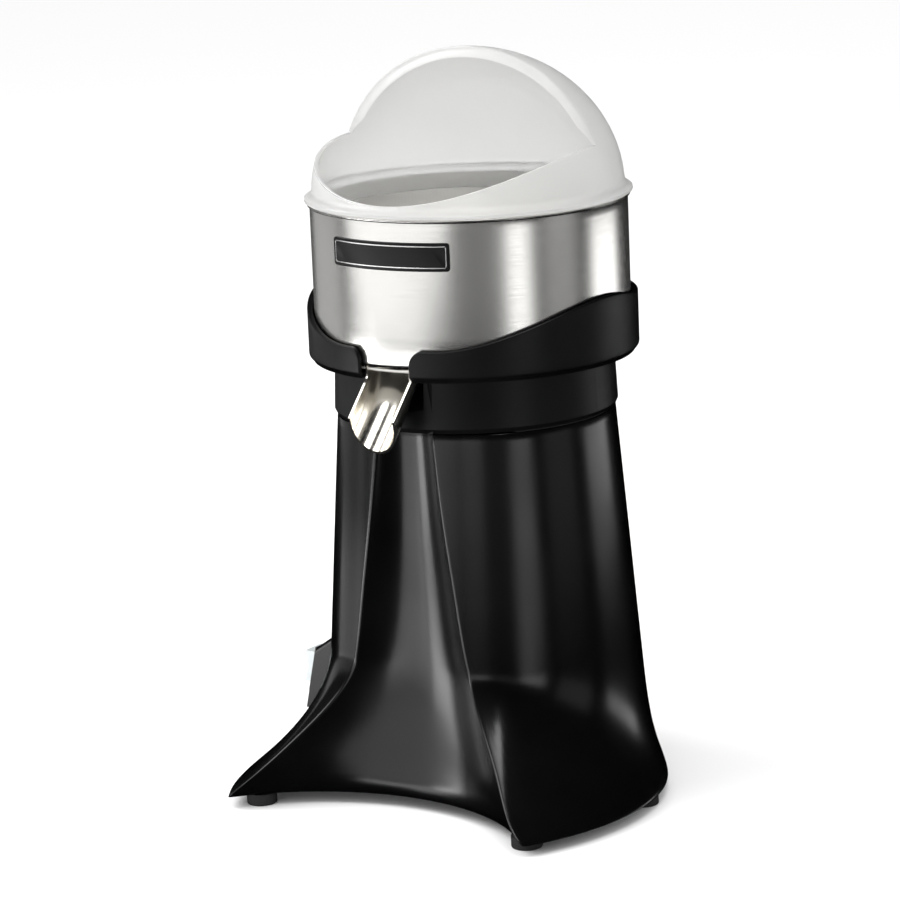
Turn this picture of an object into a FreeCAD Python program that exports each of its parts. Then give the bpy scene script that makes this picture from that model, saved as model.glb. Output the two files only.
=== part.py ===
"""Citrus press juicer. Millimetres, +Z up, the spout side faces -Y.

The origin is the middle of the footprint on the table. Everything is drawn about the drive axis and moved
back by AXIS_Y when it is written out.
"""
import FreeCAD
import Part
import math
import os

from FreeCAD import Vector

# ---------------------------------------------------------------- driving dimensions
TOTAL_HEIGHT = 508.0
SKIRT_Z = 8.0
COLUMN_TOP_Z = 262.5
NECK_Z = 263.5
COLLAR_Z = 300.5
BOWL_Z = 305.0
RIM_Z = 408.0
DOME_Z = 411.0

WALL = 4.5
SHEET = 1.5
DOME_WALL = 2.6
RUN_FIT = 0.05
GAP = 0.3

# The cast column is a cone whose foot flares out, most at the front legs, and later and more sharply behind.
COLUMN_TOP_R = 95.0
COLUMN_LOW_R = 107.1
COLUMN_LOW_Z = 100.0
LEG_FLARE = 82.0
LEG_FADE = 1.4
REAR_FLARE = 1.0
LEG_ANGLE = 36.0
FLARE_END_ANGLE = 137.0
LEG_POWER = 1.58
REAR_POWER = 4.5
FRONT_FLAT = 3.2
FLAT_ANGLES = (25.0, 42.0)
SKIN_POINTS = 11

# Height, the ridge's angle from the front, and how far forward the channel's middle is.
SECTIONS = (
    (8.0, 37.6, -96.5),
    (28.0, 35.4, -92.0),
    (45.0, 34.0, -88.0),
    (70.0, 30.4, -83.0),
    (100.0, 26.0, -79.5),
    (150.0, 21.6, -77.5),
    (205.0, 17.2, -78.0),
    (262.5, 13.6, -79.0),
)

NECK_R = 96.8
NECK_TOP_R = 95.4
NECK_INNER_R = 91.0
NECK_RIB_R = 84.0
NECK_SCREW_RING = 86.0
COLLAR_SCREW_RING = 90.0
PAD_RING = 84.0
COLLAR_R = 112.5
COLLAR_WALL = 3.9
COLLAR_FLOOR = 3.0
COLLAR_HOLE_R = 62.0
COLLAR_FRONT_Z = 321.5
COLLAR_SIDE_Z = 347.0
COLLAR_RISE_ANGLES = (18.0, 86.0)
COLLAR_REAR_DROP = 6.5
COLLAR_DROP_ANGLES = (88.0, 118.0)
NOTCH_HALF = 19.5
NOTCH_SHOULDER = 11.0
BOWL_R = 107.6
BEAD_R = 2.0
BOWL_CORNER = 7.0
TUBE_R = (15.0, 17.0)
TUBE_TOP = 340.0
BUSHING_Z = 318.0
DRAIN_HALF = 13.0
DRAIN_Y = (-94.0, -76.0)
BADGE_TURN = 1.3
BADGE_HALF = 23.6
BADGE_Z = (375.3, 392.3)
BADGE_EDGE = 1.0
DOME_R = 106.0
DOME_RISE = TOTAL_HEIGHT - DOME_Z
ARCH_Y = 4.0
LIP_FRONT_Z = 416.0
LIP_SIDE_Z = 446.0
LIP_CURVE = 0.62
ARCH_BAND = 8.0
BAND_T = 2.6
SKIRT_R = (101.6, 104.4)
SKIRT_LOW = 398.0
FLANGE_R = 111.0

SPOUT_HALF = 18.0
SPOUT_DEPTH = 21.7
SPOUT_SLOPE = 45.0
SPOUT_ROOT = (-100.0, 306.0)
SPOUT_CORNER = 39.6
SPOUT_TIP = 51.8

SHAFT_R = 6.0
SPINDLE_R = 8.0
DRIVE_HALF = 4.0
SOCKET_HALF = 6.0
REAMER_R = 37.0
REAMER_Z = 347.0
REAMER_TOP = 400.0

FOOT_R = 10.4
FOOT_NECK_R = 5.5
FOOT_WELL_R = 5.0
FOOT_WELL_Z = 5.0
FOOT_SCREW_R = 2.0
FEET = [(side * x, y) for x, y in ((107.0, -125.0), (130.5, -13.0), (42.0, 92.0)) for side in (-1, 1)]
PLATE_SCREWS = [(side * x, y) for x, y in ((58.0, 84.0), (60.0, -99.0)) for side in (-1, 1)]
PLATE_Z = 10.0
PLATE_T = 2.0
PLATE_GAP = 1.5
PLATE_SLOTS = 12
BOSS_R = 8.0
BOSS_TOP = 70.0
LEDGE_R = (80.0, 92.5)
LEDGE_Z = 256.0

MOTOR_R = 58.0
STATOR_SLOTS = 24
WINDING_H = 20.0
BOLT_RING = 53.5
FAN_Z = (96.0, 109.0)
FAN_BLADES = 9
STACK_Z = (150.0, 215.0)
BELL_Z = (113.0, 252.0)
BEARING_R = 16.0
BEARING_W = 10.0
DECK_Z = (288.0, 293.0)
SEAL_R = 14.0
NECK_FOOT_Z = 268.0
BRACKET_Z = (256.0, 259.0)
BRACKET_R = 70.0
ISOLATOR_RING = 60.0

CAN_R = 16.0
CAN_AT = (62.0, 44.0)

SWITCH_HALF = 16.0
SWITCH_LOW = (-144.2, 34.0)
SWITCH_HIGH = (-133.9, 79.0)
SWITCH_ROOF = (-117.2, 90.0)
SWITCH_Z = 62.0
SWITCH_LEAN = (SWITCH_HIGH[0] - SWITCH_LOW[0]) / (SWITCH_HIGH[1] - SWITCH_LOW[1])
SWITCH_X = SWITCH_LOW[0] + (SWITCH_Z - SWITCH_LOW[1]) * SWITCH_LEAN
ROCKER_TILT = 9.0
ROCKER_HALF = 9.6
ROCKER_PROUD = 10.5
PIN_R = 1.6

GLAND_Z = 40.0
GLAND_REACH = 14.0
GLAND_NUT_R = 12.0
GLAND_BODY_R = 8.0
GLAND_BORE_R = 4.0

# Screws: shank radius, head radius, head height.
FOOT_SCREW = (FOOT_SCREW_R, 3.8, 2.2)
PLATE_SCREW = (2.0, 4.0, 1.8)
NECK_SCREW = (2.0, 3.8, 2.2)
COLLAR_SCREW = (2.0, 3.6, 1.2)
MOTOR_SCREW = (2.5, 4.5, 3.0)
THROUGH_BOLT = (2.5, 4.2, 3.0)
SCREW_HOLE_R = 2.0
SCREW_CLEAR_R = 2.2
BOLT_CLEAR_R = 2.6

OUT = "parts"
ORIGIN = Vector(0, 0, 0)
UP = Vector(0, 0, 1)
BACK = Vector(0, 1, 0)


# ---------------------------------------------------------------- helpers
def on_circle(radius, degrees, z=0.0):
    """Point at an angle from the front, turning towards +X."""
    a = math.radians(degrees)
    return Vector(radius * math.sin(a), -radius * math.cos(a), z)


def cyl(radius, z0, z1, x=0.0, y=0.0):
    return Part.makeCylinder(radius, z1 - z0, Vector(x, y, z0), UP)


def tube(outer, inner, z0, z1, x=0.0, y=0.0):
    return cyl(outer, z0, z1, x, y).cut(cyl(inner, z0 - 1, z1 + 1, x, y))


def block(x0, x1, y0, y1, z0, z1):
    return Part.makeBox(x1 - x0, y1 - y0, z1 - z0, Vector(x0, y0, z0))


def turned(points):
    """Solid of revolution about the drive axis from (radius, height) points."""
    corners = [Vector(r, 0, z) for r, z in points]
    face = Part.Face(Part.makePolygon(corners + corners[:1]))
    return face.revolve(ORIGIN, UP, 360)


def prism_x(points, half):
    """Prism along X, from -half to half, of an outline of (y, z) points."""
    corners = [Vector(-half, y, z) for y, z in points]
    face = Part.Face(Part.makePolygon(corners + corners[:1]))
    return face.extrude(Vector(2 * half, 0, 0))


def rounded(shape, radius, wanted):
    """Fillets the edges for which wanted(edge) holds."""
    return shape.makeFillet(radius, [e for e in shape.Edges if wanted(e)])


def circle_edge(radius, z, tolerance=0.05):
    """Test for a level circular edge of a radius at a height."""
    def wanted(edge):
        curve = edge.Curve
        if not isinstance(curve, Part.Circle):
            return False
        level = abs(abs(curve.Axis.z) - 1) < 1e-6
        return level and abs(curve.Radius - radius) < tolerance and abs(curve.Center.z - z) < tolerance
    return wanted


def joined(shapes):
    first = shapes[0]
    return first.fuse(shapes[1:]).removeSplitter() if len(shapes) > 1 else first


def group(shapes):
    return Part.makeCompound(shapes)


def screw(x, y, head_z, tip_z, shank_r, head_r, head_h):
    """Pan-head screw pointing from head_z to tip_z along Z."""
    way = 1 if tip_z > head_z else -1
    shank = Part.makeCylinder(shank_r, abs(tip_z - head_z), Vector(x, y, head_z), Vector(0, 0, way))
    head = Part.makeCylinder(head_r, head_h, Vector(x, y, head_z), Vector(0, 0, -way))
    head = rounded(head, head_h * 0.45, circle_edge(head_r, head_z - way * head_h))
    top = head_z - way * head_h
    slot = block(x - head_r, x + head_r, y - 0.5, y + 0.5, top - 0.6, top + 0.6)
    return joined([shank, head]).cut(slot)


# ---------------------------------------------------------------- cast column
def smooth_step(t):
    t = min(max(t, 0.0), 1.0)
    return t * t * (3 - 2 * t)


def fade(value, full, none):
    """1 at or beyond full, 0 at or beyond none, smooth between."""
    return smooth_step((none - value) / (none - full))


def skin_radius(angle, z):
    """Distance of the column's skin from the drive axis."""
    cone = COLUMN_LOW_R + (COLUMN_TOP_R - COLUMN_LOW_R) * (z - COLUMN_LOW_Z) / (COLUMN_TOP_Z - COLUMN_LOW_Z)
    to_leg = min(max((FLARE_END_ANGLE - angle) / (FLARE_END_ANGLE - LEG_ANGLE), 0.0), 1.0)
    power = REAR_POWER + (LEG_POWER - REAR_POWER) * to_leg
    flare = max((COLUMN_LOW_Z - z) / (COLUMN_LOW_Z - SKIRT_Z), 0.0) ** power
    foot = REAR_FLARE + LEG_FLARE * to_leg ** LEG_FADE
    return cone + flare * foot - (1 - flare) * FRONT_FLAT * fade(angle, *FLAT_ANGLES)


REAR_Y = skin_radius(180.0, GLAND_Z)
FRONT_REACH = skin_radius(SECTIONS[0][1], SKIRT_Z) * math.cos(math.radians(SECTIONS[0][1]))
AXIS_Y = (FRONT_REACH - REAR_Y - GLAND_REACH) / 2


def write(name, shape):
    moved = shape.copy()
    moved.translate(Vector(0, AXIS_Y, 0))
    moved.exportStep(os.path.join(OUT, name + ".step"))


def channel_circle(section):
    """Centre y and radius of the channel's arc at one height."""
    z, ridge_angle, middle_y = section
    ridge = on_circle(skin_radius(ridge_angle, z), ridge_angle)
    depth = middle_y - ridge.y
    radius = (ridge.x ** 2 + depth ** 2) / (2 * depth)
    return middle_y - radius, radius


def ridge_angle_inside(section, inset):
    """Angle at which the inset skin meets the inset channel."""
    z, low = section[:2]
    high = 90.0
    centre_y, radius = channel_circle(section)
    for _ in range(40):
        middle = (low + high) / 2
        point = on_circle(skin_radius(middle, z) - inset, middle)
        if math.hypot(point.x, point.y - centre_y) < radius + inset:
            low = middle
        else:
            high = middle
    return low


def section_wire(section, inset=0.0):
    """Closed outline of one plan section: the channel's arc and the skin round the back."""
    z, start, middle_y = section
    if inset:
        start = ridge_angle_inside(section, inset)
    steps = [i / (SKIN_POINTS - 1) for i in range(SKIN_POINTS)]
    angles = [start + (180.0 - start) * t for t in steps]
    right = [on_circle(skin_radius(a, z) - inset, a, z) for a in angles]
    left = [Vector(-p.x, p.y, z) for p in reversed(right[:-1])]
    skin = Part.BSplineCurve()
    last = 2 * SKIN_POINTS - 2
    skin.interpolate(Points=right + left, Parameters=[i / last for i in range(last + 1)])
    arc = Part.Arc(left[-1], Vector(0, middle_y + inset, z), right[0])
    return Part.Wire([skin.toShape(), arc.toShape()])


def column_solid(inset=0.0):
    return Part.makeLoft([section_wire(s, inset) for s in SECTIONS], True, False)


def channel_gap():
    """Space in front of the neck's inner rings, where the channel comes up."""
    return block(-100, 100, -120, -62, 250, 270)


def base_housing():
    """Hollow casting with bosses for the plate, a ledge for the neck and holes for the gland and switch."""
    outer = column_solid()
    shell = outer.cut(column_solid(WALL))
    bosses = [cyl(BOSS_R, PLATE_Z + PLATE_T, BOSS_TOP, x, y) for x, y in PLATE_SCREWS]
    ledge = tube(LEDGE_R[1], LEDGE_R[0], LEDGE_Z, COLUMN_TOP_Z).cut(channel_gap())
    inside = group(bosses).common(outer)
    housing = joined([shell, ledge.common(outer)] + inside.Solids)
    holes = [cyl(SCREW_HOLE_R, PLATE_Z, PLATE_Z + 20, x, y) for x, y in PLATE_SCREWS]
    holes += [cyl(SCREW_HOLE_R, LEDGE_Z - 6, NECK_Z, p.x, p.y) for p in neck_screw_points()]
    holes.append(Part.makeCylinder(GLAND_BODY_R, 60, Vector(0, 80, GLAND_Z), BACK))
    holes.append(tilted(block(0.0, 60.0, -11.5, 11.5, -14.5, 14.5)))
    return housing.cut(group(holes))


def base_plate():
    """Steel plate that closes the column's foot, with a ring of cooling slots."""
    top = PLATE_Z + PLATE_T
    low, high = SECTIONS[:2]
    t = (top - low[0]) / (high[0] - low[0])
    outline = section_wire([a + (b - a) * t for a, b in zip(low, high)], WALL + PLATE_GAP)
    plate = Part.Face(outline).extrude(Vector(0, 0, -PLATE_T))
    slots = []
    for i in range(PLATE_SLOTS):
        slot = block(-2.0, 2.0, 26.0, 56.0, PLATE_Z - 1, top + 1)
        slot.rotate(ORIGIN, UP, i * 360.0 / PLATE_SLOTS)
        slots.append(slot)
    holes = [cyl(FOOT_SCREW_R, 0, 20, x, y) for x, y in FEET]
    holes += [cyl(SCREW_CLEAR_R, 0, 20, x, y) for x, y in PLATE_SCREWS]
    return plate.cut(group(slots + holes))


def rubber_feet():
    """Six feet, each with a neck up to the plate and a well for its screw."""
    feet = []
    for x, y in FEET:
        foot = rounded(cyl(FOOT_R, 0, SKIRT_Z, x, y), 1.2, circle_edge(FOOT_R, 0))
        foot = joined([foot, cyl(FOOT_NECK_R, SKIRT_Z, PLATE_Z, x, y)])
        well = cyl(FOOT_WELL_R, -1, FOOT_WELL_Z, x, y)
        feet.append(foot.cut(well).cut(cyl(FOOT_SCREW_R, 0, 20, x, y)))
    return group(feet)


def foot_screws():
    tip = PLATE_Z + PLATE_T + 0.6
    return group([screw(x, y, FOOT_WELL_Z, tip, *FOOT_SCREW) for x, y in FEET])


def plate_screws():
    return group([screw(x, y, PLATE_Z, PLATE_Z + 16, *PLATE_SCREW) for x, y in PLATE_SCREWS])


# ---------------------------------------------------------------- neck and collar
def neck_screw_points():
    return [on_circle(NECK_SCREW_RING, a) for a in (70, 130, 230, 290)]


def collar_screw_points():
    return [on_circle(COLLAR_SCREW_RING, a) for a in (40, 90, 140, 220, 270, 320)]


def isolator_points():
    return [on_circle(ISOLATOR_RING, a) for a in (45, 135, 225, 315)]


def spout_clearance(margin):
    """Space that the spout needs on its way up, as a prism with a sloping floor."""
    y0, z0 = SPOUT_ROOT
    rise = SPOUT_DEPTH / math.cos(math.radians(SPOUT_SLOPE))
    floor_z = z0 - rise - margin
    far = 44.0
    return prism_x([(y0 - far, floor_z - far), (y0 + far, floor_z + far), (y0 + far, 400), (y0 - far, 400)],
                   SPOUT_HALF + margin)


def neck_ring():
    """Ring on top of the column, with the deck that carries the motor and the spout's pocket."""
    rib_z = DECK_Z[1] + 1
    wall = turned([(NECK_INNER_R, NECK_Z), (NECK_R - 1.5, NECK_Z), (NECK_R, NECK_Z + 3),
                   (NECK_TOP_R, COLLAR_Z), (NECK_RIB_R, COLLAR_Z), (NECK_RIB_R, rib_z), (NECK_INNER_R, rib_z)])
    deck = tube(NECK_INNER_R + 0.5, SEAL_R, *DECK_Z)
    foot = tube(NECK_INNER_R + 0.5, LEDGE_R[0], NECK_Z, NECK_FOOT_Z).cut(channel_gap())
    pocket = block(-25.0, 25.0, -93.0, -52.0, NECK_Z, COLLAR_Z)
    ring = joined([wall, deck, foot, pocket])
    cuts = [spout_clearance(1.5)]
    cuts += [cyl(SCREW_CLEAR_R, 260, 270, p.x, p.y) for p in neck_screw_points()]
    cuts += [cyl(SCREW_HOLE_R, 289.5, 301, p.x, p.y) for p in collar_screw_points()]
    cuts += [cyl(BOLT_CLEAR_R, 280, 300, p.x, p.y) for p in isolator_points()]
    return ring.cut(group(cuts))


def neck_gasket():
    ring = tube(94.0, LEDGE_R[0] + 0.5, COLUMN_TOP_Z, NECK_Z).cut(channel_gap())
    return ring.cut(group([cyl(SCREW_CLEAR_R, 260, 270, p.x, p.y) for p in neck_screw_points()]))


def neck_screws():
    return group([screw(p.x, p.y, NECK_FOOT_Z, LEDGE_Z + 1, *NECK_SCREW) for p in neck_screw_points()])


def collar_height(degrees):
    """Height of the collar's edge at an angle from the front."""
    angle = abs(degrees)
    rise = fade(angle, *reversed(COLLAR_RISE_ANGLES))
    drop = fade(angle, *reversed(COLLAR_DROP_ANGLES))
    return COLLAR_FRONT_Z + (COLLAR_SIDE_Z - COLLAR_FRONT_Z) * rise - COLLAR_REAR_DROP * drop


def collar_trim():
    """Everything above the collar's rising edge."""
    rings = []
    for radius in (COLLAR_R - 12.0, COLLAR_R + 12.0):
        curve = Part.BSplineCurve()
        edge = [on_circle(radius, a, collar_height(a)) for a in range(-180, 180, 12)]
        curve.interpolate(edge, PeriodicFlag=True)
        rings.append(curve.toShape())
    return Part.makeRuledSurface(*rings).extrude(Vector(0, 0, 60))


def notch():
    """Opening in the collar's front for the spout, with rounded shoulders."""
    front, back, over_z = -130.0, -55.0, COLLAR_FRONT_Z + 40.0
    edge = COLLAR_FRONT_Z + 0.5
    start = Vector(-NOTCH_HALF, front, COLLAR_Z - 5)
    left_low = Vector(-NOTCH_HALF - 1.0, front, edge - NOTCH_SHOULDER)
    left_top = Vector(-NOTCH_HALF - NOTCH_SHOULDER, front, edge)
    left_mid = Vector(-NOTCH_HALF - 0.7 - NOTCH_SHOULDER * 0.3, front, edge - NOTCH_SHOULDER * 0.3)
    mirror = [Vector(-p.x, p.y, p.z) for p in (left_top, left_mid, left_low, start)]
    over = [Vector(left_top.x, front, over_z), Vector(-left_top.x, front, over_z)]
    edges = [
        Part.LineSegment(start, left_low).toShape(),
        Part.Arc(left_low, left_mid, left_top).toShape(),
        Part.LineSegment(left_top, over[0]).toShape(),
        Part.LineSegment(over[0], over[1]).toShape(),
        Part.LineSegment(over[1], mirror[0]).toShape(),
        Part.Arc(mirror[0], mirror[1], mirror[2]).toShape(),
        Part.LineSegment(mirror[2], mirror[3]).toShape(),
        Part.LineSegment(mirror[3], start).toShape(),
    ]
    return Part.Face(Part.Wire(edges)).extrude(Vector(0, back - front, 0))


def pad_points():
    return [on_circle(PAD_RING, a) for a in (60, 120, 240, 300)]


def bowl_collar():
    """Cradle that holds the bowl: a floor ring and a wall whose edge rises to the back."""
    inner = COLLAR_R - COLLAR_WALL
    floor, top = COLLAR_Z + COLLAR_FLOOR, COLLAR_SIDE_Z + 4
    body = turned([(COLLAR_HOLE_R, COLLAR_Z), (COLLAR_R - 3, COLLAR_Z), (COLLAR_R, COLLAR_Z + 5),
                   (COLLAR_R, top), (inner, top), (inner, floor), (COLLAR_HOLE_R, floor)])
    body = rounded(body, 3.0, circle_edge(COLLAR_R, COLLAR_Z + 5))
    cuts = [collar_trim(), notch()]
    cuts += [cyl(SCREW_CLEAR_R, 290, 310, p.x, p.y) for p in collar_screw_points()]
    return body.cut(cuts)


def collar_screws():
    top = COLLAR_Z + COLLAR_FLOOR
    return group([screw(p.x, p.y, top, top - 13.0, *COLLAR_SCREW) for p in collar_screw_points()])


def bowl_pads():
    return group([cyl(5.0, COLLAR_Z + COLLAR_FLOOR, BOWL_Z - 0.2, p.x, p.y) for p in pad_points()])


# ---------------------------------------------------------------- bowl, spout and badge
def bowl_outer():
    body = cyl(BOWL_R, BOWL_Z, RIM_Z)
    return rounded(body, BOWL_CORNER, circle_edge(BOWL_R, BOWL_Z))


def juice_bowl():
    """Steel bowl with a rolled rim, a centre tube and a drain over the spout."""
    hollow = cyl(BOWL_R - SHEET, BOWL_Z + SHEET, RIM_Z + 5)
    hollow = rounded(hollow, BOWL_CORNER - SHEET, circle_edge(BOWL_R - SHEET, BOWL_Z + SHEET))
    bead = Part.makeTorus(BOWL_R + BEAD_R * 0.6, BEAD_R, Vector(0, 0, RIM_Z - BEAD_R + 0.4), UP)
    sheet = bowl_outer().cut(hollow)
    centre = cyl(TUBE_R[1], BOWL_Z, TUBE_TOP)
    drain = block(-DRAIN_HALF, DRAIN_HALF, *DRAIN_Y, BOWL_Z - 1, BOWL_Z + SHEET + 1)
    drain = drain.makeFillet(4.0, [e for e in drain.Edges if abs(e.tangentAt(e.FirstParameter).z) > 0.9])
    body = joined([sheet, centre, bead])
    return body.cut(group([cyl(TUBE_R[0], BOWL_Z - 1, TUBE_TOP + 5), drain]))


def spindle_bushing():
    return tube(TUBE_R[0], SPINDLE_R + RUN_FIT, BUSHING_Z, TUBE_TOP)


def strainer_rests():
    """Three welded ledges that hold the strainer's rim."""
    rests = []
    for angle in (60, 180, 300):
        rest = block(-9, 9, -(BOWL_R - SHEET) - 1, -99.0, 362.0, 366.7)
        rest = rest.common(cyl(BOWL_R - SHEET, 360, 370))
        rest.rotate(ORIGIN, UP, angle)
        rests.append(rest)
    return group(rests)


def u_section(half, depth, top):
    """Face of a round-bottomed trough, square to Y, open edge at height top."""
    straight = half - depth
    a, b = Vector(-half, 0, top), Vector(-half, 0, straight)
    c, d = Vector(half, 0, straight), Vector(half, 0, top)
    edges = [
        Part.LineSegment(a, b).toShape(),
        Part.Arc(b, Vector(0, 0, -depth), c).toShape(),
        Part.LineSegment(c, d).toShape(),
        Part.LineSegment(d, a).toShape(),
    ]
    return Part.Face(Part.Wire(edges))


def trough(top, sheet):
    """Trough along the spout's slope, with its far end raked back from the tip."""
    back = 40.0
    run = Vector(0, -back - SPOUT_TIP, 0)
    outer = u_section(SPOUT_HALF, SPOUT_DEPTH, top).extrude(run)
    inner = u_section(SPOUT_HALF - sheet, SPOUT_DEPTH - sheet, top + 1).extrude(run)
    body = outer.cut(inner)
    body.translate(Vector(0, back, 0))
    rake = prism_x([(-SPOUT_CORNER, top + 1), (-SPOUT_CORNER, 0), (-SPOUT_TIP, -SPOUT_DEPTH),
                    (-SPOUT_TIP - 20, -SPOUT_DEPTH - 1), (-SPOUT_TIP - 20, top + 1)], 40.0)
    body = body.cut(rake)
    body.rotate(ORIGIN, Vector(1, 0, 0), SPOUT_SLOPE)
    body.translate(Vector(0, SPOUT_ROOT[0], SPOUT_ROOT[1]))
    return body


def spout():
    """Open steel chute that hangs under the drain and reaches out through the collar."""
    free = trough(0.0, SHEET)
    under = trough(14.0, SHEET).common(cyl(BOWL_R - 0.6, 250, BOWL_Z + 7))
    body = joined([free, under])
    body = body.cut(bowl_outer())
    return body.cut(block(-40, 40, -60, 0, 200, 400)).cut(block(-40, 40, -100, 0, BOWL_Z, 400))


def on_bowl(half_angle, z0, z1, stand, sheet):
    """Curved plate on the bowl's front."""
    outer = Part.makeCylinder(BOWL_R + stand + sheet, z1 - z0, Vector(0, 0, z0), UP, 2 * half_angle)
    plate = outer.cut(cyl(BOWL_R + stand, z0 - 1, z1 + 1))
    plate.rotate(ORIGIN, UP, -90 - half_angle + BADGE_TURN)
    return plate


def badge_plate():
    return on_bowl(BADGE_HALF, *BADGE_Z, 0.0, 1.0)


def badge_frame():
    low, high = BADGE_Z
    frame = on_bowl(BADGE_HALF + 1.0, low - BADGE_EDGE, high + BADGE_EDGE, 0.0, 1.6)
    return frame.cut(on_bowl(BADGE_HALF, low, high, -1.0, 6.0))


# ---------------------------------------------------------------- strainer and reamer
def strainer():
    """Perforated basket with a rim that rests in the bowl."""
    body = turned([(104.0, 367.0), (104.0, 368.4), (92.0, 368.4), (62.0, 335.4), (21.4, 335.4),
                   (21.4, 342.0), (20.0, 342.0), (20.0, 334.0), (62.8, 334.0), (92.8, 367.0)])
    holes = []
    for radius, count in ((29.0, 18), (37.0, 24), (45.0, 28), (53.0, 34)):
        for i in range(count):
            p = on_circle(radius, i * 360.0 / count)
            holes.append(cyl(1.8, 330, 340, p.x, p.y))
    for radius, count in ((68.0, 40), (76.0, 44), (84.0, 48)):
        for i in range(count):
            p = on_circle(radius, i * 360.0 / count)
            holes.append(cyl(1.8, 330, 370, p.x, p.y))
    return body.cut(group(holes))


def drive_spindle():
    """Spindle in the bowl's bushing, with a square socket below and a square top for the reamer."""
    square = block(-SOCKET_HALF, SOCKET_HALF, -SOCKET_HALF, SOCKET_HALF, 346, 366)
    body = joined([cyl(SPINDLE_R, 308.0, 346.0), cyl(12.5, TUBE_TOP + GAP, 345.0), square])
    fit = DRIVE_HALF + RUN_FIT
    return body.cut(block(-fit, fit, -fit, fit, 300, 326))


def reamer_curve(z):
    """Radius of the cone's core at a height."""
    t = (z - REAMER_Z) / (REAMER_TOP - REAMER_Z)
    return (REAMER_R - 7.0) * math.sqrt(max(1 - t ** 1.6, 0.0))


def reamer():
    """Ribbed cone that the half fruit is pressed on."""
    levels = [REAMER_Z + 4 + i * (REAMER_TOP - 3 - REAMER_Z - 4) / 8 for i in range(9)]
    core = turned([(0, REAMER_Z)] + [(REAMER_R, REAMER_Z), (REAMER_R, REAMER_Z + 4)]
                  + [(reamer_curve(z), z) for z in levels] + [(0, REAMER_TOP - 3)])
    ribs = []
    for i in range(10):
        outline = [Vector(0, 0, REAMER_Z + 3), Vector(REAMER_R - 1, 0, REAMER_Z + 3)]
        outline += [Vector(min(reamer_curve(z) + 5.0, REAMER_R - 1), 0, z) for z in levels]
        outline.append(Vector(0, 0, REAMER_TOP))
        rib = Part.Face(Part.makePolygon(outline + outline[:1])).extrude(Vector(0, 2.4, 0))
        rib.translate(Vector(0, -1.2, 0))
        rib.rotate(ORIGIN, UP, i * 36.0)
        ribs.append(rib)
    socket = SOCKET_HALF + RUN_FIT
    hollow = turned([(0, REAMER_Z - 1), (29.0, REAMER_Z - 1), (23.0, 360.0), (14.0, 366.0), (0, 366.0)])
    hub = block(-9, 9, -9, 9, REAMER_Z, 370)
    body = joined([core] + ribs).cut(hollow)
    return joined([body, hub]).cut(block(-socket, socket, -socket, socket, REAMER_Z - 1, 366.5))


# ---------------------------------------------------------------- dome
def ellipsoid(radius, rise):
    ball = Part.makeSphere(1.0)
    matrix = FreeCAD.Matrix()
    matrix.scale(Vector(radius, radius, rise))
    shape = ball.transformGeometry(matrix)
    shape.translate(Vector(0, 0, DOME_Z))
    return shape


def mouth():
    """Space cut from the dome's front: above the lip's curve and before the arch."""
    low = Vector(-200, -DOME_R, LIP_FRONT_Z)
    mid = Vector(-200, -DOME_R * 0.58, LIP_FRONT_Z + (LIP_SIDE_Z - LIP_FRONT_Z) * LIP_CURVE)
    end = Vector(-200, ARCH_Y, LIP_SIDE_Z)
    out = Vector(-200, -DOME_R - 20, LIP_FRONT_Z - 12)
    corners = [Vector(-200, ARCH_Y, 600), Vector(-200, -200, 600), Vector(-200, -200, out.z)]
    edges = [
        Part.LineSegment(out, low).toShape(),
        Part.Arc(low, mid, end).toShape(),
        Part.LineSegment(end, corners[0]).toShape(),
        Part.LineSegment(corners[0], corners[1]).toShape(),
        Part.LineSegment(corners[1], corners[2]).toShape(),
        Part.LineSegment(corners[2], out).toShape(),
    ]
    return Part.Face(Part.Wire(edges)).extrude(Vector(400, 0, 0))


def splash_dome():
    """Hood with a scooped mouth, a flat band round the arch and a skirt inside the bowl."""
    outer = ellipsoid(DOME_R, DOME_RISE)
    shell = outer.cut(ellipsoid(DOME_R - DOME_WALL, DOME_RISE - DOME_WALL))
    shell = shell.cut(cyl(150, 200, DOME_Z))
    band = outer.cut(ellipsoid(DOME_R - ARCH_BAND, DOME_RISE - ARCH_BAND))
    band = band.common(block(-150, 150, ARCH_Y, ARCH_Y + BAND_T, LIP_SIDE_Z, 600))
    flange_z = RIM_Z + 2 * GAP
    skirt = turned([(SKIRT_R[0], SKIRT_LOW), (SKIRT_R[1], SKIRT_LOW), (SKIRT_R[1], flange_z),
                    (FLANGE_R, flange_z), (FLANGE_R, DOME_Z), (SKIRT_R[0], DOME_Z + 0.01)])
    body = joined([shell, skirt])
    return joined([body.cut(mouth()), band])


# ---------------------------------------------------------------- motor
def drive_shaft():
    """Motor shaft with a square top that enters the spindle."""
    square = block(-DRIVE_HALF, DRIVE_HALF, -DRIVE_HALF, DRIVE_HALF, 299, 322)
    return joined([cyl(SHAFT_R, 92.0, 300.0), square])


def rotor_core():
    return tube(33.0, SHAFT_R, *STACK_Z)


def stator_core():
    low, high = STACK_Z
    core = tube(MOTOR_R, 34.0, low, high)
    slots = []
    for i in range(STATOR_SLOTS):
        slot = block(-2.0, 2.0, 37.0, 49.0, low - 1, high + 1)
        slot.rotate(ORIGIN, UP, i * 360.0 / STATOR_SLOTS)
        slots.append(slot)
    holes = [cyl(BOLT_CLEAR_R, low - 1, high + 1, p.x, p.y) for p in through_bolt_points()]
    return core.cut(group(slots + holes))


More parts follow.
